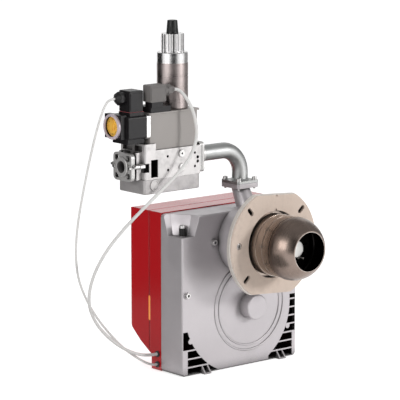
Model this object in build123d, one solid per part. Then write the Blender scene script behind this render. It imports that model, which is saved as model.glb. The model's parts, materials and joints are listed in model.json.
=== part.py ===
"""Forced-draught gas burner with its gas train, as an assembly of separate pieces, in millimetres.

Frame: the origin is the centre of the boiler gasket's front face, on the blast tube's axis.
+X is to the right seen from the boiler, +Y runs back into the burner, +Z is up.
"""
import os
from math import cos, pi, radians, sin

from build123d import *

# ---- driving dimensions ----
CLEAR = 0.3            # gap between pieces that only lie beside each other
RUN_FIT = 0.05         # radial clearance of a turning fit

# combustion head
TUBE_R = 61.0          # blast tube outside radius
TUBE_WALL = 1.5
TUBE_REACH = 50.0      # tube end in front of the gasket
TUBE_BACK = 50.0       # tube end behind the gasket face
HEAD_R = TUBE_R + 1.5   # largest radius of the rounded head
HEAD_REACH = 103.0     # mouth in front of the gasket
MOUTH_R = 40.5
HEAD_WALL = 2.0
HEAD_LAP = 8.0         # how far the head's skirt reaches into the tube
HEAD_ROLL = 6.0        # length of the rolled shoulder
GAS_HEAD_R = 17.0
GAS_HEAD_WALL = 2.0
GAS_HEAD_REACH = 67.0
DIFFUSER_R = TUBE_R - 7.0
DIFFUSER_T = 1.5
DIFFUSER_Y = -42.0
ELECTRODE_R = 3.5
PROBE_R = 1.5

# boiler flange and gasket
FLANGE_R = 109.5
FLANGE_FLAT = 97.5     # half height between the top and bottom flats
FLANGE_BORE_R = TUBE_R + 6.0
FLANGE_TURN = -4.0     # the flange sits turned a little on the neck
GASKET_T = 5.0
FLANGE_T = 9.0
SLOT_R = 94.0          # radius at which the mounting slots are centred
SLOT_LONG = 19.0
SLOT_WIDE = 9.0
NECK_SCREW_R = 91.0    # radius of the screws that hold the flange on the neck

# neck between flange and housing
NECK_R = TUBE_R + 9.5
NECK_WALL = 5.0
HOUSING_Y = 88.0       # front face of the housing
NECK_RIM_R = 100.0
NECK_RIM_T = 6.0

# housing casting
CASE_X = -12.0         # middle of the housing
BASE_Z = -260.0        # underside of the housing
CASE_W = 300.0
CASE_H = 318.0
CASE_D = 65.0
CASE_WALL = 4.0
CASE_ROUND = 7.0
FAN_X = 12.0
FAN_Z = -139.0
RING_R = 92.0          # raised double ring on the front, outside radius
RING_W = 14.0
BEAD_W = 3.5           # width of each of its two beads
RING_H = 2.0
HUB_R = 25.5
HUB_H = 26.0
BAR_T = 3.0            # grille bars
BAR_PITCH = 17.0
POST_W = 12.0          # solid foot posts beside the grilles
POST_H = 51.0
GRILLE_LEFT_TOP = 89.0
GRILLE_RIGHT_TOP = 129.0
GRILLE_EDGE = 2.5
BOSS_R = 5.5
FOOT_W = 17.0
FOOT_T = 3.0
FOOT_OUT = 10.0
FOOT_H = 16.0
POCKET_X = 46.5        # corner pocket, along the front
POCKET_Y = 60.0        # corner pocket, along the side
POCKET_DEEP = 40.0

# rear cover
COVER_D = 106.0
COVER_WALL = 2.0
COVER_TOP = CASE_H + 2.0
COVER_ROUND = 16.0
GROOVE_Y = 38.0        # groove round the cover, behind its front rim
GROOVE = 1.2

# fan and motor
FAN_R = 84.0
FAN_EYE_R = 46.0
FAN_W = 40.0
FAN_BLADES = 30
SHAFT_R = 7.0
MOTOR_R = 46.0
MOTOR_L = 50.0
MOTOR_GAP = 20.0       # air space between the shutter and the motor
SHUTTER_T = 1.5
WINDOW_DEG = 42.0      # each air window
PLATE_T = 2.0

# gas train
PIPE_Y = 104.0         # plane of the gas train
PIPE_R = 16.0
PIPE_WALL = 2.6
PIPE_Z = 178.5
BEND_R = 47.0
FLANGE_SQ = 54.0       # square gas flanges
PLATE_Z = 116.0        # top of the pipe's lower plate
PIPE_PLATE_T = 5.0
STUB_FLANGE_T = 9.0
STUB_LEAN = 28.0       # degrees by which the inlet stub leans forward
STUB_R = 17.2
VALVE_X0 = -271.0
VALVE_X1 = -135.0
VALVE_FRONT = 65.5
VALVE_BACK = 142.5
VALVE_BASE_Z = 119.0
VALVE_SEAM_Z = 147.0
VALVE_TOP_Z = 203.0
VALVE_STEP_Z = 216.0
OUTLET_T = 11.0
OUTLET_WIDE = 75.0
OUTLET_TALL = 59.0
INLET_T = 12.0
INLET_X = -299.0
INLET_BORE_R = 11.8
COIL_Z1 = 275.0
TOWER_X = -172.5
TOWER_R = 30.4
TOWER_Z1 = 363.5
COLLAR_H = 20.5
KNOB_R = 22.6
KNOB_H = 35.0
KNOB_RIBS = 22
CAP_R = 11.7
CAP_H = 25.0
STEM_R = 6.0
DIAL_X = -325.0
DIAL_Z = 252.0
DIAL_Y = 101.0
DIAL_R = 19.0
BEZEL_R = 24.5

# cables
COIL_CABLE_R = 3.2
SWITCH_CABLE_R = 2.4
CABLE_IN_Y = 164.0     # where the cables enter the rear cover
COIL_CABLE_IN_Z = -226.0
SWITCH_CABLE_IN_Z = -247.0
BUTTON_TRAVEL = 3.0

CASE_BACK = HOUSING_Y + CASE_D
CASE_LEFT = CASE_X - CASE_W / 2
CASE_RIGHT = CASE_X + CASE_W / 2
CASE_TOP = BASE_Z + CASE_H
TOWER_Z0 = COIL_Z1 + CLEAR
KNOB_Z0 = TOWER_Z1 + COLLAR_H


# ---- small helpers ----
def block(x0, x1, y0, y1, z0, z1):
    """A box from its limits."""
    return Pos((x0 + x1) / 2, (y0 + y1) / 2, (z0 + z1) / 2) * Box(x1 - x0, y1 - y0, z1 - z0)


def along_y(x, z, r, y0, y1):
    """A round bar along Y."""
    return Pos(x, (y0 + y1) / 2, z) * Rot(90, 0, 0) * Cylinder(r, y1 - y0)


def along_x(y, z, r, x0, x1):
    """A round bar along X."""
    return Pos((x0 + x1) / 2, y, z) * Rot(0, 90, 0) * Cylinder(r, x1 - x0)


def along_z(x, y, r, z0, z1):
    """A round bar along Z."""
    return Pos(x, y, (z0 + z1) / 2) * Cylinder(r, z1 - z0)


def front_plate(sketch, y0, y1, x=0.0, z=0.0):
    """A sketch in X and Z, drawn as seen from the front, extruded from y0 back to y1."""
    plane = Plane(origin=(x, y0, z), x_dir=(1, 0, 0), z_dir=(0, -1, 0))
    return extrude(plane * sketch, -(y1 - y0))


def side_plate(sketch, x0, x1):
    """A sketch in Y and Z extruded from x0 to x1."""
    plane = Plane(origin=(x0, 0, 0), x_dir=(0, 1, 0), z_dir=(1, 0, 0))
    return extrude(plane * sketch, x1 - x0)


def turned(points, x=0.0, z=0.0):
    """A closed outline of (radius, y) points turned about the Y axis through x, z."""
    face = make_face(Polyline(*[(r, y) for r, y in points], close=True))
    return Pos(x, 0, z) * revolve(face, Axis.Y)


def hex_head(r, h, socket_r=0.0):
    """A hexagon head standing on z = 0."""
    head = extrude(RegularPolygon(r, 6), h)
    head = chamfer(head.faces().sort_by(Axis.Z)[-1].edges(), h * 0.15)
    if socket_r:
        head -= Pos(0, 0, h * 0.45) * extrude(RegularPolygon(socket_r, 6), h)
    return head


def cap_screw(r, h, shank_r, shank_l):
    """A socket cap screw: its head stands on z = 0 and its shank hangs below."""
    head = Cylinder(r, h, align=(Align.CENTER, Align.CENTER, Align.MIN))
    head = fillet(head.faces().sort_by(Axis.Z)[-1].edges(), h * 0.15)
    head -= Pos(0, 0, h * 0.4) * extrude(RegularPolygon(r * 0.55, 6), h)
    shank = Pos(0, 0, -shank_l / 2) * Cylinder(shank_r, shank_l)
    return head + shank


def group(shapes):
    """Several separate solids as one node."""
    solids = []
    for shape in shapes:
        solids.extend(shape.solids())
    return Compound(children=solids)


# ---- combustion head ----
def boiler_outline(r, flat):
    """A round plate with a flat at the top and bottom."""
    return Rot(0, 0, FLANGE_TURN) * (Circle(r) & Rectangle(2 * r + 2, 2 * flat))


def slots():
    """Four radial slots on the diagonals."""
    one = Pos(SLOT_R, 0) * SlotOverall(SLOT_LONG, SLOT_WIDE)
    return Sketch() + [Rot(0, 0, FLANGE_TURN + 45 + 90 * k) * one for k in range(4)]


def neck_screw_places(r):
    """The two holes level with the axis, and where their screws sit."""
    return Sketch() + [Rot(0, 0, FLANGE_TURN) * Pos(s * NECK_SCREW_R, 0) * Circle(r) for s in (-1, 1)]


def flange_gasket():
    face = boiler_outline(FLANGE_R, FLANGE_FLAT) - Circle(FLANGE_BORE_R) - slots()
    face -= neck_screw_places(6.5)
    face -= Rot(0, 0, FLANGE_TURN) * (Pos(0, FLANGE_FLAT) * Rectangle(4, 6) + Pos(0, FLANGE_BORE_R) * Rectangle(4, 7))
    return front_plate(face, 0, GASKET_T)


def boiler_flange():
    face = boiler_outline(FLANGE_R + 1.5, FLANGE_FLAT + 1.5) - Circle(FLANGE_BORE_R) - slots()
    face -= neck_screw_places(4.2)
    plate = front_plate(face, GASKET_T, GASKET_T + FLANGE_T)
    rim = plate.faces().sort_by(Axis.Y)[0].outer_wire().edges()
    return chamfer(rim, 1.0)


def flange_screws():
    """Countersunk-head screws that hold the flange to the neck's rim."""
    made = []
    for side in (-1, 1):
        screw = cap_screw(6.0, 4.4, 4.0, FLANGE_T + NECK_RIM_T)
        turn = Rot(0, -FLANGE_TURN, 0)
        made.append(turn * Pos(side * NECK_SCREW_R, GASKET_T, 0) * Rot(90, 0, 0) * screw)
    return group(made)


def blast_tube():
    """Thin tube with a turned-out lip that is held between flange and neck."""
    lip_y = GASKET_T + FLANGE_T
    tube = along_y(0, 0, TUBE_R, -TUBE_REACH, TUBE_BACK)
    tube -= along_y(0, 0, TUBE_R - TUBE_WALL, -TUBE_REACH - 1, TUBE_BACK + 1)
    for y in (-30.0, -12.0):
        bead = along_y(0, 0, TUBE_R + 0.8, y - 1.5, y + 1.5)
        tube += bead - along_y(0, 0, TUBE_R - TUBE_WALL / 2, y - 2, y + 2)
    lip = along_y(0, 0, NECK_R - NECK_WALL - 0.2, lip_y + CLEAR, lip_y + CLEAR + 2)
    return tube + (lip - along_y(0, 0, TUBE_R - TUBE_WALL / 2, lip_y, lip_y + 4))


def head_volume(shrink):
    """The rounded head as a solid: skirt in the tube, rolled shoulder and curve down to the mouth."""
    skirt_r = TUBE_R - TUBE_WALL - 0.1 - shrink
    r = HEAD_R - shrink
    back = -TUBE_REACH + HEAD_LAP
    roll_y = -TUBE_REACH - CLEAR
    full_y = roll_y - HEAD_ROLL
    deep = full_y + HEAD_REACH
    drop = HEAD_R - MOUTH_R
    curve_r = (drop ** 2 + deep ** 2) / (2 * drop)
    half = deep / curve_r / 2
    mid = (r - curve_r * (1 - cos(half)), full_y - curve_r * sin(half))
    mouth = (r - drop, -HEAD_REACH)
    roll_mid = ((skirt_r + r) / 2 + 0.4, roll_y - HEAD_ROLL * 0.32)
    outline = [Line((0, back), (skirt_r, back)), Line((skirt_r, back), (skirt_r, roll_y)),
               ThreePointArc((skirt_r, roll_y), roll_mid, (r, full_y)),
               ThreePointArc((r, full_y), mid, mouth), Line(mouth, (0, -HEAD_REACH)),
               Line((0, -HEAD_REACH), (0, back))]
    return revolve(make_face(outline), Axis.Y)


def combustion_head():
    """Rounded heat-resisting steel head that turns the flame's air inwards."""
    return head_volume(0) - head_volume(HEAD_WALL)


def gas_head():
    """Gas lance: a closed-end tube with outlet ports, and its elbow up to the inlet stub."""
    back_y = 62.0
    lance = along_y(0, 0, GAS_HEAD_R, -GAS_HEAD_REACH, back_y)
    lance = fillet(lance.faces().sort_by(Axis.Y)[0].edges(), 2.0)
    feed = along_z(0, back_y - GAS_HEAD_R, GAS_HEAD_R * 0.8, 0, 52)
    bore_r = GAS_HEAD_R - GAS_HEAD_WALL
    bore = along_y(0, 0, bore_r, -GAS_HEAD_REACH + 3, back_y - 3)
    bore += along_z(0, back_y - GAS_HEAD_R, GAS_HEAD_R * 0.8 - GAS_HEAD_WALL, 0, 53)
    body = lance + feed - bore
    for k in range(8):
        port = Rot(0, 45 * k + 22.5, 0) * along_z(0, -GAS_HEAD_REACH + 12, 2.5, bore_r - 3, GAS_HEAD_R + 2)
        body -= port
    return body


def diffuser_disc():
    """Flame disc: a dished ring on the gas lance with twisted radial slots."""
    face = Circle(DIFFUSER_R) - Circle(GAS_HEAD_R + 0.1)
    slot = Pos((DIFFUSER_R + GAS_HEAD_R) / 2 + 2, 0) * Rot(0, 0, 18) * SlotOverall(24, 5)
    face -= [Rot(0, 0, 30 * k) * slot for k in range(12)]
    face -= [Pos(30 * cos(radians(a)), 30 * sin(radians(a))) * Circle(ELECTRODE_R + 0.5) for a in (-45, -135)]
    disc = front_plate(face, DIFFUSER_Y, DIFFUSER_Y + DIFFUSER_T)
    rim = along_y(0, 0, DIFFUSER_R, DIFFUSER_Y, DIFFUSER_Y + 9)
    rim -= along_y(0, 0, DIFFUSER_R - DIFFUSER_T, DIFFUSER_Y - 1, DIFFUSER_Y + 10)
    sleeve = along_y(0, 0, GAS_HEAD_R + 2.1, DIFFUSER_Y, DIFFUSER_Y + 8)
    return disc + rim + (sleeve - along_y(0, 0, GAS_HEAD_R + 0.1, DIFFUSER_Y - 1, DIFFUSER_Y + 9))


def head_rod(angle, tip, rod_r):
    """A ceramic-sleeved rod beside the gas lance, with a thin wire tip."""
    x, z = 30 * cos(radians(angle)), 30 * sin(radians(angle))
    sleeve = along_y(x, z, ELECTRODE_R, DIFFUSER_Y - 6, 40)
    wire = along_y(x, z, rod_r, DIFFUSER_Y - 6 - tip, DIFFUSER_Y - 6)
    clamp = along_y(x, z, ELECTRODE_R + 2, 2, 10)
    arm_long = 30 - GAS_HEAD_R - 0.1
    arm = Pos(GAS_HEAD_R + 0.1 + arm_long / 2, 6, 0) * Box(arm_long, 8, 5)
    return sleeve + wire + clamp + Rot(0, -angle, 0) * arm


# ---- neck and gas inlet ----
def stub_frame():
    """Plane at the gas inlet stub's top, whose normal runs down the leaning stub."""
    top_z = PLATE_Z - PIPE_PLATE_T - CLEAR - STUB_FLANGE_T
    lean = radians(STUB_LEAN)
    return Plane(origin=(0, PIPE_Y, top_z + 1), x_dir=(1, 0, 0), z_dir=(0, -sin(lean), -cos(lean)))


def stub_bar(r0, r1, length):
    """A slightly tapered round bar down the leaning stub."""
    return stub_frame().location * Cone(r0, r1, length, align=(Align.CENTER, Align.CENTER, Align.MIN))


def neck():
    """Casting between flange and housing: round duct, rims and the leaning gas inlet stub."""
    front = GASKET_T + FLANGE_T + CLEAR
    back = HOUSING_Y - CLEAR
    duct = along_y(0, 0, NECK_R, front, back)
    rim = front_plate(boiler_outline(NECK_RIM_R, NECK_R + 6), front, front + NECK_RIM_T)
    stub = stub_bar(STUB_R, STUB_R + 3.5, 62)
    top_z = PLATE_Z - PIPE_PLATE_T - CLEAR
    half = FLANGE_SQ / 2
    pad = block(-half, half, PIPE_Y - half, PIPE_Y + half, top_z - STUB_FLANGE_T, top_z)
    pad = fillet(pad.edges().filter_by(Axis.Z), 5)
    body = duct + rim + stub
    body -= block(-CASE_W, CASE_W, back, back + CASE_W, -CASE_H, CASE_TOP + CLEAR)
    body += pad
    bore = along_y(0, 0, NECK_R - NECK_WALL, front - 1, back + 1)
    gas_bore = stub_bar(STUB_R - 4.5, STUB_R - 4.0, 62)
    gas_bore += along_z(0, PIPE_Y, STUB_R - 4.5, top_z - STUB_FLANGE_T - 4, top_z + 1)
    body -= bore + gas_bore
    body -= [Pos(x, PIPE_Y + y, top_z) * Cylinder(2.6, 40) for x, y in square_places()]
    body -= front_plate(neck_screw_places(4.2), front - 1, front + NECK_RIM_T + 1)
    return body


def square_places():
    """Screw places on the square gas flanges."""
    reach = FLANGE_SQ / 2 - 6.5
    return [(sx * reach, sy * reach) for sx in (-1, 1) for sy in (-1, 1)]


def neck_clearance():
    """Room that the leaning stub takes out of the housing's top edge."""
    return stub_bar(STUB_R + 1.0, STUB_R + 4.5, 62)


# ---- housing ----
def scroll_r(angle):
    """Scroll radius, clockwise from the right as seen from the front, in degrees."""
    return 109.0 + 8.0 * (max(angle, 0.0) / 45.0) ** 1.45


def scroll_face(grow=0.0, end=200.0):
    """The fan scroll's outline about the fan axis, as a closed face."""
    step = 20
    angles = range(-60, int(end) + 1, step)
    points = [((scroll_r(a) + grow) * cos(radians(-a)), (scroll_r(a) + grow) * sin(radians(-a))) for a in angles]
    curve = Spline(*points)
    return make_face([curve, Line(points[-1], points[0])])


def case_box(grow, y0, y1, top=CASE_H):
    """The housing's rounded rectangular outline as a solid, grown or shrunk all round."""
    face = RectangleRounded(CASE_W + 2 * grow, top + 2 * grow, CASE_ROUND + grow)
    return front_plate(face, y0, y1, CASE_X, BASE_Z + top / 2)


def grille_openings():
    """Air intakes in the lower corners: the corners outside the scroll, divided by bars."""
    left, right, base = CASE_LEFT + GRILLE_EDGE, CASE_RIGHT - GRILLE_EDGE, BASE_Z + GRILLE_EDGE
    y0, y1 = HOUSING_Y - 1, HOUSING_Y + CASE_WALL + 1
    deep = POST_W - GRILLE_EDGE
    corners = block(left, FAN_X - 70, y0, y1, base, BASE_Z + GRILLE_LEFT_TOP)
    corners += block(FAN_X + 52, right, y0, y1, base, BASE_Z + GRILLE_RIGHT_TOP)
    corners -= front_plate(scroll_face(), y0, y1, FAN_X, FAN_Z)
    corners -= block(left - 1, left + deep + 2, y0, y1, BASE_Z, BASE_Z + POST_H)
    corners -= block(right - deep + 2, right + 1, y0, y1, BASE_Z, BASE_Z + POST_H)
    for k in range(1, 8):
        z = BASE_Z + BAR_PITCH * k
        first = FAN_X if k > 3 else left - 1
        corners -= block(first, right + 1, y0, y1, z - BAR_T / 2, z + BAR_T / 2)
    for x, z in grille_bosses():
        corners -= along_y(x, z, BOSS_R, y0, y1)
    return corners


def grille_bosses():
    """Round screw bosses that stand into the grille openings."""
    return [(CASE_X - 128.5, BASE_Z + 69), (CASE_X + 128, BASE_Z + 64)]


def corner_pocket(side):
    """Tapered pocket in a top corner of the housing, open to the front, side and top."""
    def outline(x_reach, y_reach, z):
        corner = (side * -5, -5)
        points = [corner, (side * -5, y_reach), (side * x_reach * 0.3, y_reach * 0.92),
                  (side * x_reach * 0.86, y_reach * 0.34), (side * x_reach, -5)]
        return Pos(0, 0, z) * make_face(Polyline(*points, close=True))
    lower = outline(POCKET_X * 0.70, POCKET_Y * 0.74, 0)
    upper = outline(POCKET_X * 1.03, POCKET_Y * 1.03, POCKET_DEEP + 6)
    corner_x = CASE_LEFT if side > 0 else CASE_RIGHT
    return Pos(corner_x, HOUSING_Y, CASE_TOP - POCKET_DEEP) * loft([lower, upper])


def pocket_wall(side):
    """The pocket's own wall: the pocket's shape grown inwards, kept inside the housing."""
    solid = corner_pocket(side)
    grown = Pos(side * CASE_WALL, CASE_WALL, -CASE_WALL) * solid
    return grown & case_box(-0.5, HOUSING_Y + 0.5, CASE_BACK)


def front_foot(x):
    """Two gusset fins and a sole that stand out at the housing's lower front edge."""
    outline = make_face(Polyline((HOUSING_Y + 1, BASE_Z + FOOT_H), (HOUSING_Y + 1, BASE_Z),
                                 (HOUSING_Y - FOOT_OUT, BASE_Z), (HOUSING_Y - FOOT_OUT, BASE_Z + FOOT_T),
                                 close=True))
    half = FOOT_W / 2
    fins = side_plate(outline, x - half, x - half + FOOT_T) + side_plate(outline, x + half - FOOT_T, x + half)
    return fins + block(x - half, x + half, HOUSING_Y - FOOT_OUT, HOUSING_Y + 1, BASE_Z, BASE_Z + FOOT_T)


def scroll_wall():
    """The wall round the fan, from the front plate back to the inlet plate."""
    ring = scroll_face() - scroll_face(-CASE_WALL * 0.8)
    outlet = Pos(-14, 150) * Rectangle(138, 190)
    open_ring = ring - outlet
    wall = front_plate(open_ring, HOUSING_Y + 1, PLATE_Y - 0.1, FAN_X, FAN_Z)
    return wall & case_box(-1, HOUSING_Y, CASE_BACK)


def raised_bead(r):
    """One rounded ring that stands on the front plate."""
    bead = along_y(FAN_X, FAN_Z, r, HOUSING_Y - RING_H, HOUSING_Y + 1)
    bead -= along_y(FAN_X, FAN_Z, r - BEAD_W, HOUSING_Y - RING_H - 1, HOUSING_Y + 2)
    return chamfer(bead.faces().sort_by(Axis.Y)[0].edges(), BEAD_W * 0.3)


def front_casting():
    """Die-cast housing: front plate with ring, hub, grilles and feet, side walls and scroll."""
    case = case_box(0, HOUSING_Y, CASE_BACK)
    case = fillet(case.faces().sort_by(Axis.Y)[0].edges(), 3.0)
    case -= case_box(-CASE_WALL, HOUSING_Y + CASE_WALL, CASE_BACK + 1)
    case += scroll_wall()
    for side in (1, -1):
        case += pocket_wall(side)
        case -= corner_pocket(side)
        case += pocket_boss(side)
    ring = raised_bead(RING_R) + raised_bead(RING_R - RING_W + BEAD_W)
    ring -= along_y(0, 0, NECK_R + CLEAR, HOUSING_Y - RING_H - 1, HOUSING_Y)
    case += ring
    hub = along_y(FAN_X, FAN_Z, HUB_R, HOUSING_Y - HUB_H, HOUSING_Y + 1)
    hub = fillet(hub.faces().sort_by(Axis.Y)[0].edges(), 3.0)
    case += hub
    case -= along_y(FAN_X, FAN_Z, SHAFT_R + 6, HOUSING_Y - HUB_H + 5, HOUSING_Y + 6)
    case -= grille_openings()
    case -= along_y(0, 0, NECK_R - NECK_WALL, HOUSING_Y - 1, HOUSING_Y + CASE_WALL + 1)
    for x, z in grille_bosses():
        case += along_y(x, z, BOSS_R, HOUSING_Y + 0.5, HOUSING_Y + CASE_WALL + 8)
    case += front_foot(CASE_X - 92) + front_foot(CASE_X + 106)
    for x, z in front_screw_places():
        case += along_y(x, z, 7.0, HOUSING_Y - 1.5, HOUSING_Y + 12)
        case -= along_y(x, z, 3.1, HOUSING_Y - 2, HOUSING_Y + 13)
    return case - neck_clearance()


def pocket_boss(side):
    """Screw boss standing in the corner pocket."""
    corner_x = CASE_LEFT if side > 0 else CASE_RIGHT
    x, y = corner_x + side * 17.0, HOUSING_Y + 20.0
    boss = along_z(x, y, 6.5, CASE_TOP - POCKET_DEEP - 3, CASE_TOP - 24)
    return boss - along_z(x, y, 3.0, CASE_TOP - POCKET_DEEP + 2, CASE_TOP)


def front_screw_places():
    """Screws through the front plate: by the left edge and beside the neck."""
    beside = NECK_R + 11.5
    return [(CASE_LEFT + 11.5, BASE_Z + 163), (-beside, BASE_Z + 261), (beside, BASE_Z + 261)]


def front_screws():
    made = []
    for x, z in front_screw_places():
        screw = cap_screw(5.5, 5.0, 3.0, 12.0)
        made.append(Pos(x, HOUSING_Y - 1.5, z) * Rot(90, 0, 0) * screw)
    return group(made)


def pocket_screws():
    made = []
    for side, corner_x in ((1, CASE_LEFT), (-1, CASE_RIGHT)):
        x, y = corner_x + side * 17.0, HOUSING_Y + 20.0
        made.append(Pos(x, y, CASE_TOP - 24) * cap_screw(5.5, 6.0, 2.9, 12.0))
    return group(made)


# ---- rear cover ----
def cover_outline(shrink, front):
    """Side outline of the cover in Y and Z: a tall back with its lower part cut away."""
    back = CASE_BACK + COVER_D - shrink
    base = BASE_Z + 1 + shrink
    top = BASE_Z + COVER_TOP - shrink
    sill = CASE_BACK + 31 - shrink
    knee = BASE_Z + 30 + shrink * 0.4
    points = [(front, base), (sill, base), (sill, knee), (CASE_BACK + 66 - shrink, BASE_Z + 52 + shrink * 0.7),
              (back, BASE_Z + 86 + shrink * 0.3), (back, top), (front, top)]
    return make_face(Polyline(*points, close=True))


def cover_solid(shrink, front, round_r):
    """The cover's outer or inner volume."""
    left = CASE_LEFT + shrink
    right = CASE_RIGHT - shrink
    solid = side_plate(cover_outline(shrink, front), left, right)
    rear = solid.faces().sort_by(Axis.Y)[-1]
    solid = fillet(rear.edges(), round_r)
    return solid


def rear_cover():
    """Painted sheet cover over motor and controls, open to the front."""
    front = CASE_BACK + CLEAR
    outer = cover_solid(0, front, COVER_ROUND)
    outer -= cover_solid(COVER_WALL, front - 1, COVER_ROUND - COVER_WALL)
    groove_y = CASE_BACK + GROOVE_Y
    frame = block(CASE_LEFT - 5, CASE_RIGHT + 5, groove_y - 1, groove_y + 1, BASE_Z + 40, BASE_Z + COVER_TOP + 5)
    frame -= block(CASE_LEFT + GROOVE, CASE_RIGHT - GROOVE, groove_y - 2, groove_y + 2,
                   BASE_Z + 30, BASE_Z + COVER_TOP - GROOVE)
    outer -= frame
    outer -= side_plate(Pos(groove_y, BASE_Z + 123) * SlotOverall(51, 6.6, rotation=90), CASE_LEFT - 1, CASE_LEFT + 4)
    for z in (COIL_CABLE_IN_Z, SWITCH_CABLE_IN_Z):
        outer -= along_x(CABLE_IN_Y, z, GROMMET_R, CASE_LEFT - 1, CASE_LEFT + 4)
    for x, z in cover_screw_places():
        outer -= along_y(x, z, 2.6, CASE_BACK + COVER_D - 4, CASE_BACK + COVER_D + 1)
    return outer


GROMMET_R = 4.6


def cover_screw_places():
    return [(CASE_LEFT + 22, CASE_TOP - 20), (CASE_RIGHT - 22, CASE_TOP - 20),
            (CASE_LEFT + 22, BASE_Z + 112), (CASE_RIGHT - 22, BASE_Z + 112)]


def cover_screws():
    made = []
    for x, z in cover_screw_places():
        made.append(Pos(x, CASE_BACK + COVER_D, z) * Rot(-90, 0, 0) * cap_screw(5.0, 4.0, 2.5, 10.0))
    return group(made)


def reset_button():
    """Amber oblong reset button with lamp, in the groove on the cover's left side."""
    y, z = CASE_BACK + GROOVE_Y, BASE_Z + 123
    cap = side_plate(Pos(y, z) * SlotOverall(50.4, 6.0, rotation=90), CASE_LEFT + 0.2, CASE_LEFT + 8)
    flange = side_plate(Pos(y, z) * SlotOverall(56, 12, rotation=90), CASE_LEFT + COVER_WALL + 1.0, CASE_LEFT + 8)
    cap = chamfer(cap.faces().sort_by(Axis.X)[0].edges(), 0.6)
    return cap + flange


def cable_grommets():
    """Rubber bushes where the two cables enter the cover."""
    made = []
    for z in (COIL_CABLE_IN_Z, SWITCH_CABLE_IN_Z):
        bush = along_x(CABLE_IN_Y, z, GROMMET_R - 0.1, CASE_LEFT - 1, CASE_LEFT + 5)
        bush += along_x(CABLE_IN_Y, z, GROMMET_R + 1.4, CASE_LEFT - 3, CASE_LEFT - CLEAR)
        bush += along_x(CABLE_IN_Y, z, GROMMET_R + 1.4, CASE_LEFT + COVER_WALL + CLEAR, CASE_LEFT + 6)
        made.append(bush)
    return group(made)


# ---- fan, shutter and motor ----
PLATE_Y = CASE_BACK - PLATE_T - CLEAR


def inlet_windows(reach):
    """Four sector windows round the fan's eye, each a little under half of its quarter."""
    spread = radians(WINDOW_DEG / 2)
    far = 2 * reach
    wedge = make_face(Polyline((0, 0), (far * cos(spread), -far * sin(spread)),
                               (far * cos(spread), far * sin(spread)), close=True))
    ring = Circle(reach) - Circle(20)
    return ring & (Sketch() + [Rot(0, 0, 90 * k) * wedge for k in range(4)])


def inlet_plate():
    """Plate behind the fan, with windows at its eye, that carries the shutter and motor."""
    area = Pos(CASE_X - FAN_X, BASE_Z + CASE_H / 2 - FAN_Z) * Rectangle(CASE_W - 14, CASE_H - 14)
    face = scroll_face(CASE_WALL * 0.5) & area
    face += Pos(-14, 60) * Rectangle(150, 74)
    face -= inlet_windows(FAN_EYE_R)
    face -= Circle(SHAFT_R + 3)
    plate = front_plate(face, PLATE_Y, PLATE_Y + PLATE_T, FAN_X, FAN_Z)
    plate -= block(CASE_LEFT, CASE_RIGHT, PLATE_Y - 1, CASE_BACK, -42, CASE_TOP)
    return plate & case_box(-CASE_WALL - CLEAR, HOUSING_Y, CASE_BACK)


SHUTTER_Y = PLATE_Y + PLATE_T + CLEAR


def air_shutter():
    """Turning disc with matching windows that sets the combustion air, and its drive lug."""
    face = Circle(FAN_EYE_R + 6) - inlet_windows(FAN_EYE_R) - Circle(SHAFT_R + 3)
    face += Pos(FAN_EYE_R + 14, 0) * SlotOverall(26, 9) - Pos(FAN_EYE_R + 20, 0) * Circle(2.2)
    return front_plate(face, SHUTTER_Y, SHUTTER_Y + SHUTTER_T, FAN_X, FAN_Z)


def fan_impeller():
    """Forward-curved fan wheel: back disc, curved blades, front ring and hub."""
    y0 = HOUSING_Y + 10
    y1 = y0 + FAN_W
    wheel = along_y(FAN_X, FAN_Z, FAN_R, y0, y0 + 2)
    ring = along_y(FAN_X, FAN_Z, FAN_R, y1 - 2.5, y1)
    ring -= along_y(FAN_X, FAN_Z, FAN_R - 15, y1 - 3, y1 + 1)
    blade = make_face([
        ThreePointArc((FAN_R - 14, 0), (FAN_R - 6.5, -2.6), (FAN_R - 0.5, -8.5)),
        Line((FAN_R - 0.5, -8.5), (FAN_R - 1.1, -9.8)),
        ThreePointArc((FAN_R - 1.1, -9.8), (FAN_R - 7.2, -4.0), (FAN_R - 14, -1.5)),
        Line((FAN_R - 14, -1.5), (FAN_R - 14, 0)),
    ])
    one = front_plate(blade, y0 + 1, y1 - 1)
    for k in range(FAN_BLADES):
        wheel += Pos(FAN_X, 0, FAN_Z) * Rot(0, 360 / FAN_BLADES * k, 0) * one
    hub = along_y(FAN_X, FAN_Z, SHAFT_R + 7, y0, y0 + 24)
    return wheel + ring + hub - along_y(FAN_X, FAN_Z, SHAFT_R, y0 - 1, y0 + 25)


MOTOR_Y = SHUTTER_Y + SHUTTER_T + MOTOR_GAP


def motor_shaft():
    return along_y(FAN_X, FAN_Z, SHAFT_R, HOUSING_Y + 8, MOTOR_Y + 40)


def motor():
    """Finned motor body with its shaft bore and end shields."""
    body = along_y(FAN_X, FAN_Z, MOTOR_R - 4, MOTOR_Y, MOTOR_Y + MOTOR_L)
    shields = along_y(FAN_X, FAN_Z, MOTOR_R, MOTOR_Y, MOTOR_Y + 9)
    shields += along_y(FAN_X, FAN_Z, MOTOR_R - 1, MOTOR_Y + MOTOR_L - 10, MOTOR_Y + MOTOR_L)
    body += chamfer(shields.edges().filter_by(GeomType.CIRCLE), 1.0)
    fin = Pos(FAN_X, MOTOR_Y + MOTOR_L / 2, FAN_Z)
    for k in range(18):
        body += fin * Rot(0, 20 * k, 0) * Pos(0, 0, MOTOR_R - 4) * Box(2.2, MOTOR_L - 16, 6)
    body -= along_y(FAN_X, FAN_Z, SHAFT_R + RUN_FIT, MOTOR_Y - 1, MOTOR_Y + 42)
    return body


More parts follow.
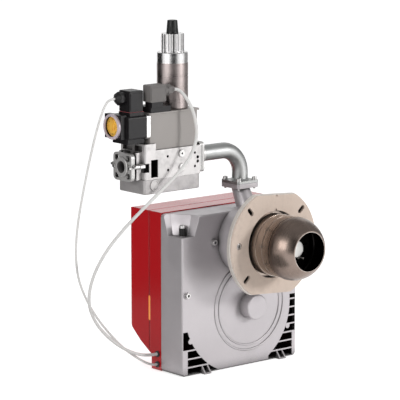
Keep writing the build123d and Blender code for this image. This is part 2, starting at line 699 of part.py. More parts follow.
def motor_posts():
    """Three spacers that carry the motor on the inlet plate, outside the shutter's sweep."""
    made = []
    for angle in (90, 210, 330):
        x = FAN_X + 62 * cos(radians(angle))
        z = FAN_Z + 62 * sin(radians(angle))
        made.append(along_y(x, z, 5, PLATE_Y + PLATE_T, MOTOR_Y - 4))
    ring = along_y(FAN_X, FAN_Z, 68, MOTOR_Y - 4, MOTOR_Y - CLEAR / 3)
    ring -= along_y(FAN_X, FAN_Z, 38, MOTOR_Y - 5, MOTOR_Y + 1)
    whole = ring
    for post in made:
        whole += post
    return whole


# ---- parts under the cover ----
INNER_Y = CASE_BACK + 6


def control_tray():
    """Sheet tray across the top of the housing that carries the electrical parts."""
    tray = block(CASE_LEFT + 6, CASE_RIGHT - 6, CASE_BACK - 2, INNER_Y - 3, -40, 46)
    return tray - along_y(0, 0, 22, CASE_BACK - 3, INNER_Y)


def control_box():
    """Automatic burner control on its terminal base."""
    left = CASE_LEFT + 12
    base = block(left, left + 90, INNER_Y - 3 + CLEAR, INNER_Y + 22, -36, 44)
    lid = block(left + 3, left + 87, INNER_Y + 21, INNER_Y + 60, -33, 41)
    lid = fillet(lid.edges().filter_by(Axis.Y), 4)
    return base + lid


def ignition_transformer():
    body = block(-50, 20, INNER_Y - 3 + CLEAR, INNER_Y + 46, -34, 40)
    body = fillet(body.edges().filter_by(Axis.Y), 5)
    for x in (-32, 2):
        body += along_z(x, INNER_Y + 30, 6, -50, -33)
    return body


def air_pressure_switch():
    body = along_y(78, 4, 30, INNER_Y - 3 + CLEAR, INNER_Y + 18)
    body += along_y(78, 4, 27, INNER_Y + 17, INNER_Y + 40)
    body += along_z(78, INNER_Y + 12, 3, -44, -20)
    return body


def shutter_servo():
    """Small gear motor that turns the air shutter."""
    x = CASE_RIGHT - 28
    body = block(x - 22, x + 18, SHUTTER_Y + 6, SHUTTER_Y + 50, FAN_Z - 26, FAN_Z + 30)
    body = fillet(body.edges().filter_by(Axis.Y), 4)
    foot = block(x - 18, x + 14, PLATE_Y + PLATE_T + CLEAR, SHUTTER_Y + 7, FAN_Z + 14, FAN_Z + 28)
    return body + foot


# ---- gas pipe ----
def gas_pipe():
    """Bent steel pipe with the square plate welded to its lower end."""
    lower = Edge.make_line((0, PIPE_Y, PLATE_Z - PIPE_PLATE_T), (0, PIPE_Y, PIPE_Z - BEND_R))
    bend = ThreePointArc((0, PIPE_Y, PIPE_Z - BEND_R),
                         (-BEND_R * (1 - cos(pi / 4)), PIPE_Y, PIPE_Z - BEND_R * (1 - sin(pi / 4))),
                         (-BEND_R, PIPE_Y, PIPE_Z))
    level = Edge.make_line((-BEND_R, PIPE_Y, PIPE_Z), (SOCKET_X0, PIPE_Y, PIPE_Z))
    path = lower + bend + level
    start = Plane(origin=(0, PIPE_Y, PLATE_Z - PIPE_PLATE_T), z_dir=(0, 0, 1))
    half = FLANGE_SQ / 2
    plate = block(-half, half, PIPE_Y - half, PIPE_Y + half, PLATE_Z - PIPE_PLATE_T, PLATE_Z)
    plate = fillet(plate.edges().filter_by(Axis.Z), 5)
    body = sweep(start * Circle(PIPE_R), path) + plate
    weld = Pos(0, PIPE_Y, PLATE_Z) * Cone(PIPE_R + 2.5, PIPE_R, 3, align=(Align.CENTER, Align.CENTER, Align.MIN))
    body += weld
    body -= sweep(start * Circle(PIPE_R - PIPE_WALL), path)
    body -= [Pos(x, PIPE_Y + y, PLATE_Z) * Cylinder(3.0, 40) for x, y in square_places()]
    return body


SOCKET_X0 = VALVE_X1 + OUTLET_T + 6.0


def gas_flange_gasket():
    """Thin sealing ring let into the joint of the two square plates."""
    top = PLATE_Z - PIPE_PLATE_T
    return along_z(0, PIPE_Y, STUB_R + 3, top - CLEAR, top) - along_z(0, PIPE_Y, STUB_R - 4, top - 1, top + 1)


def gas_flange_screws():
    made = []
    for x, y in square_places():
        place = Pos(x, PIPE_Y + y, PLATE_Z)
        screw = cap_screw(4.8, 5.0, 2.5, PIPE_PLATE_T + STUB_FLANGE_T + 5)
        washer = Cylinder(6.0, 1.2, align=(Align.CENTER, Align.CENTER, Align.MIN)) - Cylinder(2.55, 5)
        made.append(place * Pos(0, 0, 1.2) * screw)
        made.append(place * washer)
    return group(made)


# ---- gas valve ----
def valve_body():
    """Multiblock casting: flat machined front, raised inlet shoulder, ribs, windows and bores."""
    body = block(VALVE_X0, VALVE_X1, VALVE_FRONT, VALVE_BACK, VALVE_SEAM_Z + CLEAR, VALVE_TOP_Z)
    body += block(VALVE_X0, VALVE_X0 + 26, VALVE_FRONT, VALVE_BACK, VALVE_TOP_Z - 1, VALVE_STEP_Z)
    body = chamfer(body.edges().filter_by(Axis.Z).group_by(Axis.X)[0], 2.0)
    # inlet side: duct with ribs between the block and the inlet frame
    body += along_x(PIPE_Y, PIPE_Z - 6.5, 23, VALVE_X0 - 17, VALVE_X0 + 1)
    for dy in (-24, -12, 12, 24):
        body += block(VALVE_X0 - 12, VALVE_X0 + 1, PIPE_Y + dy - 2.5, PIPE_Y + dy + 2.5, VALVE_SEAM_Z + CLEAR, 200)
    # open pocket under the inlet shoulder, and the front window with its port
    body -= block(VALVE_X0 - 1, VALVE_X0 + 9, VALVE_FRONT + 10, VALVE_FRONT + 33, 201, 212)
    body -= block(VALVE_X0 - 1, VALVE_X0 + 9, VALVE_FRONT + 40, VALVE_BACK - 8, 201, 212)
    body -= block(-257, -240, VALVE_FRONT - 1, VALVE_FRONT + 22, 151, 185)
    body -= block(VALVE_X0 - 1, -261, VALVE_FRONT - 1, VALVE_FRONT + 10, 162, 179)
    for x, z in VALVE_HOLES:
        body -= along_y(x, z, 2.6, VALVE_FRONT - 1, VALVE_FRONT + 14)
    for x, z in VALVE_PLUGS:
        body += along_y(x, z, 7.5, VALVE_FRONT - 1.2, VALVE_FRONT + 1)
        body -= along_y(x, z, 5.2, VALVE_FRONT - 2, VALVE_FRONT + 8)
    for x, z in ((-141, 180), (-141, 172)):
        body -= along_y(x, z, 3.2, VALVE_FRONT - 1, VALVE_FRONT + 14)
    body -= along_x(PIPE_Y, PIPE_Z - 6.5, INLET_BORE_R + 1.5, VALVE_X0 - 20, VALVE_X0 + 30)
    body -= along_x(PIPE_Y, PIPE_Z, PIPE_R - PIPE_WALL, VALVE_X1 - 40, VALVE_X1 + 1)
    return body


VALVE_HOLES = [(-216, 188.5), (-215, 162), (-148, 189), (-148, 163)]
VALVE_PLUGS = [(-182, 191.3), (-181.5, 164.7)]


def valve_base():
    """Lower housing of the valve with its filter boss, bolted under the body."""
    base = block(VALVE_X0 - 2, VALVE_X1 - 0.5, VALVE_FRONT + 0.5, VALVE_BACK + 2, VALVE_BASE_Z, VALVE_SEAM_Z)
    base = fillet(base.edges().filter_by(Axis.Z), 4)
    base = chamfer(base.faces().sort_by(Axis.Z)[0].edges(), 1.5)
    boss = along_y(-248.5, 134, 10.5, VALVE_FRONT + 0.2, VALVE_FRONT + 5)
    boss += block(-257, -240, VALVE_FRONT + 0.2, VALVE_FRONT + 5, 134, VALVE_SEAM_Z)
    ridge = block(VALVE_X0 + 20, VALVE_X1 - 25, VALVE_FRONT + 0.6, VALVE_FRONT + 3, 140, 143)
    return base + boss + ridge


def valve_plugs():
    """Sealing plugs in the front ports."""
    made = []
    for x, z in VALVE_PLUGS:
        plug = along_y(x, z, 5.0, VALVE_FRONT - 1.5, VALVE_FRONT + 7)
        plug += along_y(x, z, 6.6, VALVE_FRONT - 2.7, VALVE_FRONT - 1.2 - 0.05)
        plug -= along_y(x, z, 2.2, VALVE_FRONT - 3, VALVE_FRONT + 3)
        made.append(plug)
    return group(made)


def inlet_flange():
    """Inlet frame: square flange with four corner pockets round the threaded gas inlet."""
    z = PIPE_Z - 6.5
    x1 = VALVE_X0 - 17 - CLEAR
    y0, y1 = PIPE_Y - 28, PIPE_Y + 28
    plate = block(x1 - INLET_T + 4, x1, y0, y1, z - 27, z + 27)
    plate = fillet(plate.edges().filter_by(Axis.X), 9)
    for sy in (-1, 1):
        for sz in (-1, 1):
            pocket = Pos(x1 - INLET_T, PIPE_Y + sy * 17, z + sz * 17) * Box(INLET_T * 2.5, 11, 11)
            plate -= fillet(pocket.edges().filter_by(Axis.X), 3)
    ring = along_x(PIPE_Y, z, 19, x1 - INLET_T, x1)
    ring = chamfer(ring.faces().sort_by(Axis.X)[0].edges(), 1.2)
    return plate + ring - along_x(PIPE_Y, z, INLET_BORE_R, x1 - INLET_T - 1, x1 + 1)


def inlet_screws():
    """Screws at the four sides of the inlet frame."""
    x1 = VALVE_X0 - 17 - CLEAR
    made = []
    for dy, dz in ((-23.5, 0), (23.5, 0)):
        place = Pos(x1 - INLET_T + 4, PIPE_Y + dy, PIPE_Z - 6.5 + dz) * Rot(0, -90, 0)
        made.append(place * hex_head(4.5, 4.0, 2.2))
    return group(made)


def test_nipples():
    """Pressure test points: a hex, a barrel and a sealing screw each."""
    made = []
    z = PIPE_Z - 4
    for y in (VALVE_FRONT + 4.5, VALVE_BACK - 4):
        place = Pos(VALVE_X0 - 0.1, y, z) * Rot(0, -90, 0)
        nipple = hex_head(5.2, 12)
        nipple += Pos(0, 0, 12) * Cylinder(3.6, 10, align=(Align.CENTER, Align.CENTER, Align.MIN))
        nipple += Pos(0, 0, 22) * Cone(3.6, 2.2, 3, align=(Align.CENTER, Align.CENTER, Align.MIN))
        made.append(place * nipple)
    return group(made)


def outlet_flange():
    """Square outlet flange with a split pipe socket and its clamp ears."""
    x0, x1 = VALVE_X1 + 0.1, VALVE_X1 + OUTLET_T
    wide, tall = OUTLET_WIDE / 2, OUTLET_TALL / 2
    plate = block(x0, x1, PIPE_Y - wide, PIPE_Y + wide, PIPE_Z - tall, PIPE_Z + tall)
    plate = fillet(plate.edges().filter_by(Axis.X), 6)
    step = block(x0 + 4.5, x0 + 6, PIPE_Y - wide - 1, PIPE_Y + wide + 1, PIPE_Z - tall - 1, PIPE_Z + tall + 1)
    step -= block(x0, x1, PIPE_Y - wide + 1, PIPE_Y + wide - 1, PIPE_Z - tall + 1, PIPE_Z + tall - 1)
    plate -= step
    socket = along_x(PIPE_Y, PIPE_Z, PIPE_R + 5, x1 - 1, x1 + 20)
    for sy in (-1, 1):
        for sz in (-1, 1):
            rib = block(x1 - 1, x1 + 12, -1.6, 1.6, 0, 27)
            lean = Pos(0, PIPE_Y, PIPE_Z) * Rot(sy * -45 if sz > 0 else sy * -135, 0, 0)
            socket += lean * rib
    body = plate + chamfer(socket.faces().sort_by(Axis.X)[-1].edges(), 1.0)
    body -= along_x(PIPE_Y, PIPE_Z, PIPE_R - PIPE_WALL, x0 - 1, x1 + 30)
    body -= along_x(PIPE_Y, PIPE_Z, PIPE_R + 0.05, SOCKET_X0 - 0.1, x1 + 30)
    return body


def outlet_screws():
    made = []
    x1 = VALVE_X1 + OUTLET_T
    for dy, dz in ((-30, -22), (30, -22), (30, 22), (-30, 22)):
        place = Pos(x1, PIPE_Y + dy, PIPE_Z + dz) * Rot(0, 90, 0)
        made.append(place * hex_head(4.6, 4.5, 2.4))
    return group(made)


def coil_housing():
    """Grey coil housing on top of the valve, with a top lip."""
    z0 = VALVE_TOP_Z + CLEAR
    x0 = VALVE_X0 + 26 + CLEAR
    body = block(x0, VALVE_X1 - 2, VALVE_FRONT + 4, VALVE_BACK - 5, z0, COIL_Z1 - 3)
    body += block(VALVE_X0 + 15, x0 + 1, VALVE_FRONT + 4, VALVE_BACK - 5, VALVE_STEP_Z + CLEAR, COIL_Z1 - 3)
    body = fillet(body.edges().filter_by(Axis.Z).group_by(Axis.X)[-1], 5)
    lip = block(VALVE_X0 + 15, VALVE_X1 + 1, VALVE_FRONT + 2, VALVE_BACK - 3, COIL_Z1 - 3.5, COIL_Z1)
    return body + fillet(lip.edges().filter_by(Axis.Z), 3)


def coil_end_plate():
    """Bright C-shaped end plate between pressure switch and coil."""
    x0, x1 = VALVE_X0 + 6, VALVE_X0 + 15 - CLEAR
    plate = block(x0, x1, VALVE_FRONT + 2, VALVE_BACK - 12, 226, COIL_Z1 - 2)
    return fillet(plate.edges().filter_by(Axis.X), 6)


SWITCH_X0 = -309.0
SWITCH_X1 = VALVE_X0 + 6 - CLEAR


def pressure_switch():
    """Black gas pressure switch: body, dial housing and connector neck."""
    body = block(SWITCH_X0, SWITCH_X1, VALVE_FRONT + 2, VALVE_BACK - 10, 228, 272)
    body = fillet(body.edges().filter_by(Axis.X), 4)
    body += block(SWITCH_X0 + 4, SWITCH_X1, VALVE_FRONT + 10, VALVE_BACK - 20, 218, 229)
    body += block(DIAL_X + 4, SWITCH_X0 + 1, DIAL_Y - 25, DIAL_Y + 25, DIAL_Z - 23, DIAL_Z + 23)
    body += block(-302, -268, 73, 107, 271, 279)
    body -= along_x(DIAL_Y, DIAL_Z, BEZEL_R - 2, DIAL_X + 3, DIAL_X + 9)
    body -= along_x(DIAL_Y, DIAL_Z, 4.2, DIAL_X + 3, DIAL_X + 24)
    return body


def setting_dial():
    """Setting dial with a rim of grip notches and a screwdriver slot, on its spindle."""
    dial = along_x(DIAL_Y, DIAL_Z, DIAL_R, DIAL_X + 4.5, DIAL_X + 8)
    for k in range(24):
        notch = Pos(DIAL_X + 6, DIAL_Y, DIAL_Z) * Rot(15 * k, 0, 0) * Pos(0, 0, DIAL_R) * Box(8, 1.4, 1.4)
        dial -= notch
    boss = along_x(DIAL_Y, DIAL_Z, 7, DIAL_X + 2.8, DIAL_X + 5)
    spindle = along_x(DIAL_Y, DIAL_Z, 4.2 - RUN_FIT, DIAL_X + 7, DIAL_X + 22)
    slot = block(DIAL_X + 2, DIAL_X + 4, DIAL_Y - 1, DIAL_Y + 1, DIAL_Z - 6, DIAL_Z + 6)
    pointer = block(DIAL_X + 3.6, DIAL_X + 5, DIAL_Y - 1, DIAL_Y + 1, DIAL_Z + 8, DIAL_Z + 17)
    return dial + boss + spindle + pointer - slot


def dial_window():
    """Clear cover ring that snaps over the dial."""
    ring = along_x(DIAL_Y, DIAL_Z, BEZEL_R, DIAL_X - 1, DIAL_X + 4 - CLEAR / 3)
    ring = fillet(ring.faces().sort_by(Axis.X)[0].edges(), 1.5)
    ring -= along_x(DIAL_Y, DIAL_Z, BEZEL_R - 3, DIAL_X + 1, DIAL_X + 5)
    return ring - along_x(DIAL_Y, DIAL_Z, DIAL_R + 0.5, DIAL_X - 2, DIAL_X + 2)


def din_plug(x0, x1, y0, y1, z0, z1, side, gland_y, gland_r, gland_len, bore_r):
    """A square cable plug with ribs, a cable outlet boss and a cover screw."""
    body = block(x0, x1, y0, y1, z0, z1)
    body = fillet(body.edges().filter_by(Axis.Y), 2.5)
    mid_y, mid_z = gland_y, z1 - gland_r - 2
    edge = x1 if side > 0 else x0
    boss = along_x(mid_y, mid_z, gland_r - 0.8, min(edge, edge + side * 5) - 1, max(edge, edge + side * 5) + 1)
    body += boss
    body += block(x0 + 2, x1 - 2, y0 - 1, y0 + 1, z0 + 3, z1 - 5)
    return body, edge + side * 6, mid_y, mid_z


SWITCH_PLUG = dict(x0=-301.5, x1=-269.5, y0=74.0, y1=106.0, z0=279.3, z1=320.0, side=-1,
                   gland_y=94.0, gland_r=12.5, gland_len=14.0, bore_r=SWITCH_CABLE_R)
COIL_PLUG = dict(x0=-262.0, x1=-224.0, y0=60.0, y1=83.0, z0=296.3, z1=329.0, side=1,
                 gland_y=69.0, gland_r=10.5, gland_len=18.0, bore_r=COIL_CABLE_R)


def plug_gland(spec):
    """Ribbed gland nut on a plug's cable outlet."""
    _, x, y, z = din_plug(**spec)
    side = spec["side"]
    nut = hex_head(spec["gland_r"] + 0.8, spec["gland_len"] * 0.6)
    nut = nut + Pos(0, 0, spec["gland_len"] * 0.6) * Cone(spec["gland_r"] - 1.5, spec["bore_r"] + 2.5,
          spec["gland_len"] * 0.4, align=(Align.CENTER, Align.CENTER, Align.MIN))
    return Pos(x + side * 0.05, y, z) * Rot(0, 90 * side, 0) * nut


def gland_end(spec):
    """Where the cable leaves the gland."""
    _, x, y, z = din_plug(**spec)
    return x + spec["side"] * (spec["gland_len"] + 0.05), y, z


def coil_plug_base():
    """Black terminal block between coil and plug."""
    low = block(-255, -206, 68, 112, COIL_Z1 + CLEAR, 286)
    return low + block(-256, -228, 64, 84, 285, 296)


def seal_strip():
    """Thin red seal under the pressure switch's plug."""
    return block(-301.9, -268.5, 73.4, 106.6, 279.0, 279.3)


def regulator_tower():
    """Anodised cylinder over the valve's spring and brake."""
    body = along_z(TOWER_X, PIPE_Y, TOWER_R, TOWER_Z0, TOWER_Z1)
    body = chamfer(body.faces().sort_by(Axis.Z)[0].edges(), 1.5)
    groove = along_z(TOWER_X, PIPE_Y, TOWER_R + 1, TOWER_Z1 - 3, TOWER_Z1 - 1.6)
    groove -= along_z(TOWER_X, PIPE_Y, TOWER_R - 1, TOWER_Z1 - 4, TOWER_Z1)
    return body - groove


def tower_collar():
    """Bright collar that closes the tower; the flow knob turns on its spigot."""
    z0 = TOWER_Z1 + 0.05
    body = along_z(TOWER_X, PIPE_Y, TOWER_R, z0, KNOB_Z0)
    body = chamfer(body.faces().sort_by(Axis.Z)[-1].edges(), 1.2)
    return body + along_z(TOWER_X, PIPE_Y, 16, KNOB_Z0 - 1, KNOB_Z0 + 20)


def flow_knob():
    """Ribbed flow-setting knob with the stem that carries the protective cap."""
    z0 = KNOB_Z0 + CLEAR
    face = Circle(KNOB_R)
    face -= [Rot(0, 0, 360 / KNOB_RIBS * k) * Pos(KNOB_R + 0.4, 0) * Circle(2.1) for k in range(KNOB_RIBS)]
    knob = Pos(TOWER_X, PIPE_Y, z0) * extrude(face, KNOB_H)
    knob += along_z(TOWER_X, PIPE_Y, KNOB_R - 1.6, z0, z0 + 2.5)
    knob -= along_z(TOWER_X, PIPE_Y, 16 + RUN_FIT, z0 - 1, z0 + 21)
    return knob + along_z(TOWER_X, PIPE_Y, STEM_R, z0 + KNOB_H - 1, z0 + KNOB_H + 18)


def stem_cap():
    """Black protective cap, open below, that lifts off the stem."""
    z0 = KNOB_Z0 + CLEAR + KNOB_H + CLEAR
    base = Pos(TOWER_X, PIPE_Y, z0)
    cap = base * Cone(CAP_R, CAP_R - 2.0, CAP_H, align=(Align.CENTER, Align.CENTER, Align.MIN))
    cap = fillet(cap.faces().sort_by(Axis.Z)[-1].edges(), 1.5)
    for k in range(12):
        cap -= base * Rot(0, 0, 30 * k) * Pos(CAP_R, 0, 4 + CAP_H / 2) * Cylinder(1.2, CAP_H)
    return cap - along_z(TOWER_X, PIPE_Y, STEM_R + RUN_FIT, z0 - 1, z0 + 21)


# ---- cables ----
def corner_radii(points):
    """Arc radii as large as each corner's two runs allow."""
    radii = []
    for a, b, c in zip(points, points[1:], points[2:]):
        into, out = Vector(b) - Vector(a), Vector(c) - Vector(b)
        turn = radians(into.get_angle(out))
        share = 0.45 * min(into.length, out.length)
        radii.append(share * cos(turn / 2) / sin(turn / 2))
    return radii


def cable(points, r):
    """A cable's tube along straight runs joined by tangent arcs."""
    radii = corner_radii(points)
    path = FilletPolyline(*points, radius=radii)
    start = Plane(origin=points[0], z_dir=Vector(points[1]) - Vector(points[0]))
    tube = sweep(start * Circle(r), path)
    spans = [(Vector(b) - Vector(a)).length for a, b in zip(points, points[1:])]
    print("cable length", round(path.length, 1), "runs", [round(s) for s in spans])
    print("  radii", [round(x) for x in radii], "volume ratio", round(tube.volume / (pi * r * r * path.length), 4))
    return tube


CASE_SIDE = CASE_LEFT - 3.0    # outer face of the grommets


def past(point, step):
    """A point further along X, so that a cable leaves its gland straight."""
    return point[0] + step, point[1], point[2]


COIL_START = gland_end(COIL_PLUG)
SWITCH_START = gland_end(SWITCH_PLUG)
COIL_CABLE = [COIL_START, past(COIL_START, 12), (-179, 58, 303), (-173, 46, 283), (-168, 39, 256),
              (-166, 37, 226), (-176, 39, 195), (-200, 43, 164), (-240, 48, 132), (-284, 56, 96),
              (-324, 68, 58), (-355, 84, 16), (-372, 104, -36), (-368, 122, -88), (-340, 136, -132),
              (-302, 146, -168), (-256, 156, -200), (-212, 162, -220), (CASE_SIDE - 16, CABLE_IN_Y, COIL_CABLE_IN_Z),
              (CASE_SIDE, CABLE_IN_Y, COIL_CABLE_IN_Z)]
SWITCH_CABLE = [SWITCH_START, past(SWITCH_START, -10), (-340, 98, 298), (-350, 102, 272), (-358, 111, 229),
                (-365, 121.5, 176), (-378, 123, 122), (-388, 126, 67), (-392, 128, 12), (-381, 136, -38),
                (-356, 146, -82), (-322, 157, -126), (-284, 165, -166), (-246, 170, -202), (-208, 169, -230),
                (CASE_SIDE - 14, CABLE_IN_Y, SWITCH_CABLE_IN_Z), (CASE_SIDE, CABLE_IN_Y, SWITCH_CABLE_IN_Z)]


PIECES = {
    "flange_gasket": flange_gasket,
    "boiler_flange": boiler_flange,
    "flange_screws": flange_screws,
    "blast_tube": blast_tube,
    "combustion_head": combustion_head,
    "gas_head": gas_head,
    "diffuser_disc": diffuser_disc,
    "ignition_electrode": lambda: head_rod(-45, 14, PROBE_R),
    "ionisation_probe": lambda: head_rod(-135, 18, PROBE_R),
    "neck": neck,
    "front_casting": front_casting,
    "front_screws": front_screws,
    "pocket_screws": pocket_screws,
    "rear_cover": rear_cover,
    "cover_screws": cover_screws,
    "reset_button": reset_button,
    "cable_grommets": cable_grommets,
    "inlet_plate": inlet_plate,
    "air_shutter": air_shutter,
    "fan_impeller": fan_impeller,
    "motor_shaft": motor_shaft,
    "motor": motor,
    "motor_bracket": motor_posts,
    "control_tray": control_tray,
    "control_box": control_box,
    "ignition_transformer": ignition_transformer,
    "air_pressure_switch": air_pressure_switch,
    "shutter_servo": shutter_servo,
    "gas_pipe": gas_pipe,
    "gas_flange_gasket": gas_flange_gasket,
    "gas_flange_screws": gas_flange_screws,
    "valve_body": valve_body,
    "valve_base": valve_base,
    "valve_plugs": valve_plugs,
    "inlet_flange": inlet_flange,
    "inlet_screws": inlet_screws,
    "test_nipples": test_nipples,
    "outlet_flange": outlet_flange,
    "outlet_screws": outlet_screws,
    "coil_housing": coil_housing,
    "coil_end_plate": coil_end_plate,
    "pressure_switch": pressure_switch,
    "setting_dial": setting_dial,
    "dial_window": dial_window,
    "switch_plug": lambda: din_plug(**SWITCH_PLUG)[0],
    "switch_plug_gland": lambda: plug_gland(SWITCH_PLUG),
    "plug_seal": seal_strip,
    "coil_plug_base": coil_plug_base,
    "coil_plug": lambda: din_plug(**COIL_PLUG)[0],
    "coil_plug_gland": lambda: plug_gland(COIL_PLUG),
    "regulator_tower": regulator_tower,
    "tower_collar": tower_collar,
    "flow_knob": flow_knob,
    "stem_cap": stem_cap,
    "coil_cable": lambda: cable(COIL_CABLE, COIL_CABLE_R),
    "switch_cable": lambda: cable(SWITCH_CABLE, SWITCH_CABLE_R),
}

os.makedirs("parts", exist_ok=True)
for name, make in PIECES.items():
    export_step(make(), f"parts/{name}.step")
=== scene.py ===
"""Looks of the forced-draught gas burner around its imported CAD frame."""
import json
from math import cos, pi, radians, sin

import bmesh
import bpy
from mathutils import Matrix, Vector


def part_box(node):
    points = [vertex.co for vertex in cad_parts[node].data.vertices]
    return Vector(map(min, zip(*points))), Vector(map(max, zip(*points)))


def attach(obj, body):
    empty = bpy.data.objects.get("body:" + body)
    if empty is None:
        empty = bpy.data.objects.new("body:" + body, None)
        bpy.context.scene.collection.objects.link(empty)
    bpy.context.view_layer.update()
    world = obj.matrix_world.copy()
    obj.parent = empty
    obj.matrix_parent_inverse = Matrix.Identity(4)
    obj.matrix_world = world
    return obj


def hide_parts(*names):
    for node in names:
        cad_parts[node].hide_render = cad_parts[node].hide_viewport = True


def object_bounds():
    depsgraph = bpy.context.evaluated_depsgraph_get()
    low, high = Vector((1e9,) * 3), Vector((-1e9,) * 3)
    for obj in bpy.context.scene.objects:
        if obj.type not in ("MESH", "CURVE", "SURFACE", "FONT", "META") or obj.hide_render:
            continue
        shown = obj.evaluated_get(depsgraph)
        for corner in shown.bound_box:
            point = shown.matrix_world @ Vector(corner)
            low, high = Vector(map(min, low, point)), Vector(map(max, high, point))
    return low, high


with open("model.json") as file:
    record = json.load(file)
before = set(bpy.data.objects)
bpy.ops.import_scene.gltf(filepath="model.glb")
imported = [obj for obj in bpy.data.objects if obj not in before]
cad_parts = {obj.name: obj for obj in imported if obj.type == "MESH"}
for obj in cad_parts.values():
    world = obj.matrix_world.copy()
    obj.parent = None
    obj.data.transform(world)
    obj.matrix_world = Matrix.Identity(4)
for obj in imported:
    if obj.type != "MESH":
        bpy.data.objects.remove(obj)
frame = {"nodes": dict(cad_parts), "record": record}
CAD_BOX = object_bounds()
NODES = frame["nodes"]

# ---- camera: long lens, from the front left and a little above ----
CAM_AZIMUTH = -40.0
CAM_ELEVATION = 10.0
CAM_EYE = (-3.1463, -3.5227, 0.9206)
CAM_LENS = 220.5

camera = bpy.data.objects.new("camera", bpy.data.cameras.new("camera"))
bpy.context.collection.objects.link(camera)
camera.data.lens = CAM_LENS
camera.data.sensor_width = 36.0
camera.data.clip_end = 50.0
camera.location = CAM_EYE
camera.rotation_euler = (radians(90 - CAM_ELEVATION), 0, radians(CAM_AZIMUTH))
bpy.context.scene.camera = camera

# ---- cables: the same routes as in the CAD, in metres ----
COIL_CABLE_D = 0.0064
SWITCH_CABLE_D = 0.0048
COIL_ROUTE = [
    (-0.1999, 0.069, 0.3165), (-0.1879, 0.069, 0.3165), (-0.179, 0.058, 0.303),
    (-0.173, 0.046, 0.283), (-0.168, 0.039, 0.256), (-0.166, 0.037, 0.226), (-0.176, 0.039, 0.195),
    (-0.2, 0.043, 0.164), (-0.24, 0.048, 0.132), (-0.284, 0.056, 0.096), (-0.324, 0.068, 0.058),
    (-0.355, 0.084, 0.016), (-0.372, 0.104, -0.036), (-0.368, 0.122, -0.088),
    (-0.34, 0.136, -0.132), (-0.302, 0.146, -0.168), (-0.256, 0.156, -0.2), (-0.212, 0.162, -0.22),
    (-0.181, 0.164, -0.226), (-0.165, 0.164, -0.226)
]
SWITCH_ROUTE = [
    (-0.3216, 0.094, 0.3055), (-0.3316, 0.094, 0.3055), (-0.34, 0.098, 0.298),
    (-0.35, 0.102, 0.272), (-0.358, 0.111, 0.229), (-0.365, 0.1215, 0.176), (-0.378, 0.123, 0.122),
    (-0.388, 0.126, 0.067), (-0.392, 0.128, 0.012), (-0.381, 0.136, -0.038),
    (-0.356, 0.146, -0.082), (-0.322, 0.157, -0.126), (-0.284, 0.165, -0.166),
    (-0.246, 0.17, -0.202), (-0.208, 0.169, -0.23), (-0.179, 0.164, -0.247),
    (-0.165, 0.164, -0.247)
]


def cable(name, points, diameter):
    """A smooth round cable whose control points are the route's corners."""
    curve = bpy.data.curves.new(name, "CURVE")
    curve.dimensions = "3D"
    spline = curve.splines.new("NURBS")
    spline.points.add(len(points) - 1)
    for control, place in zip(spline.points, points):
        control.co = (*place, 1)
        control.radius = diameter / 2
    spline.order_u = 3
    spline.use_endpoint_u = True
    spline.resolution_u = 12
    curve.bevel_depth = 1.0
    curve.bevel_resolution = 5
    curve.use_fill_caps = True
    piece = bpy.data.objects.new(name, curve)
    bpy.context.collection.objects.link(piece)
    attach(piece, "burner")
    return piece


coil_cable = cable("coil_cable_run", COIL_ROUTE, COIL_CABLE_D)
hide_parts("coil_cable")
switch_cable = cable("switch_cable_run", SWITCH_ROUTE, SWITCH_CABLE_D)
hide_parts("switch_cable")


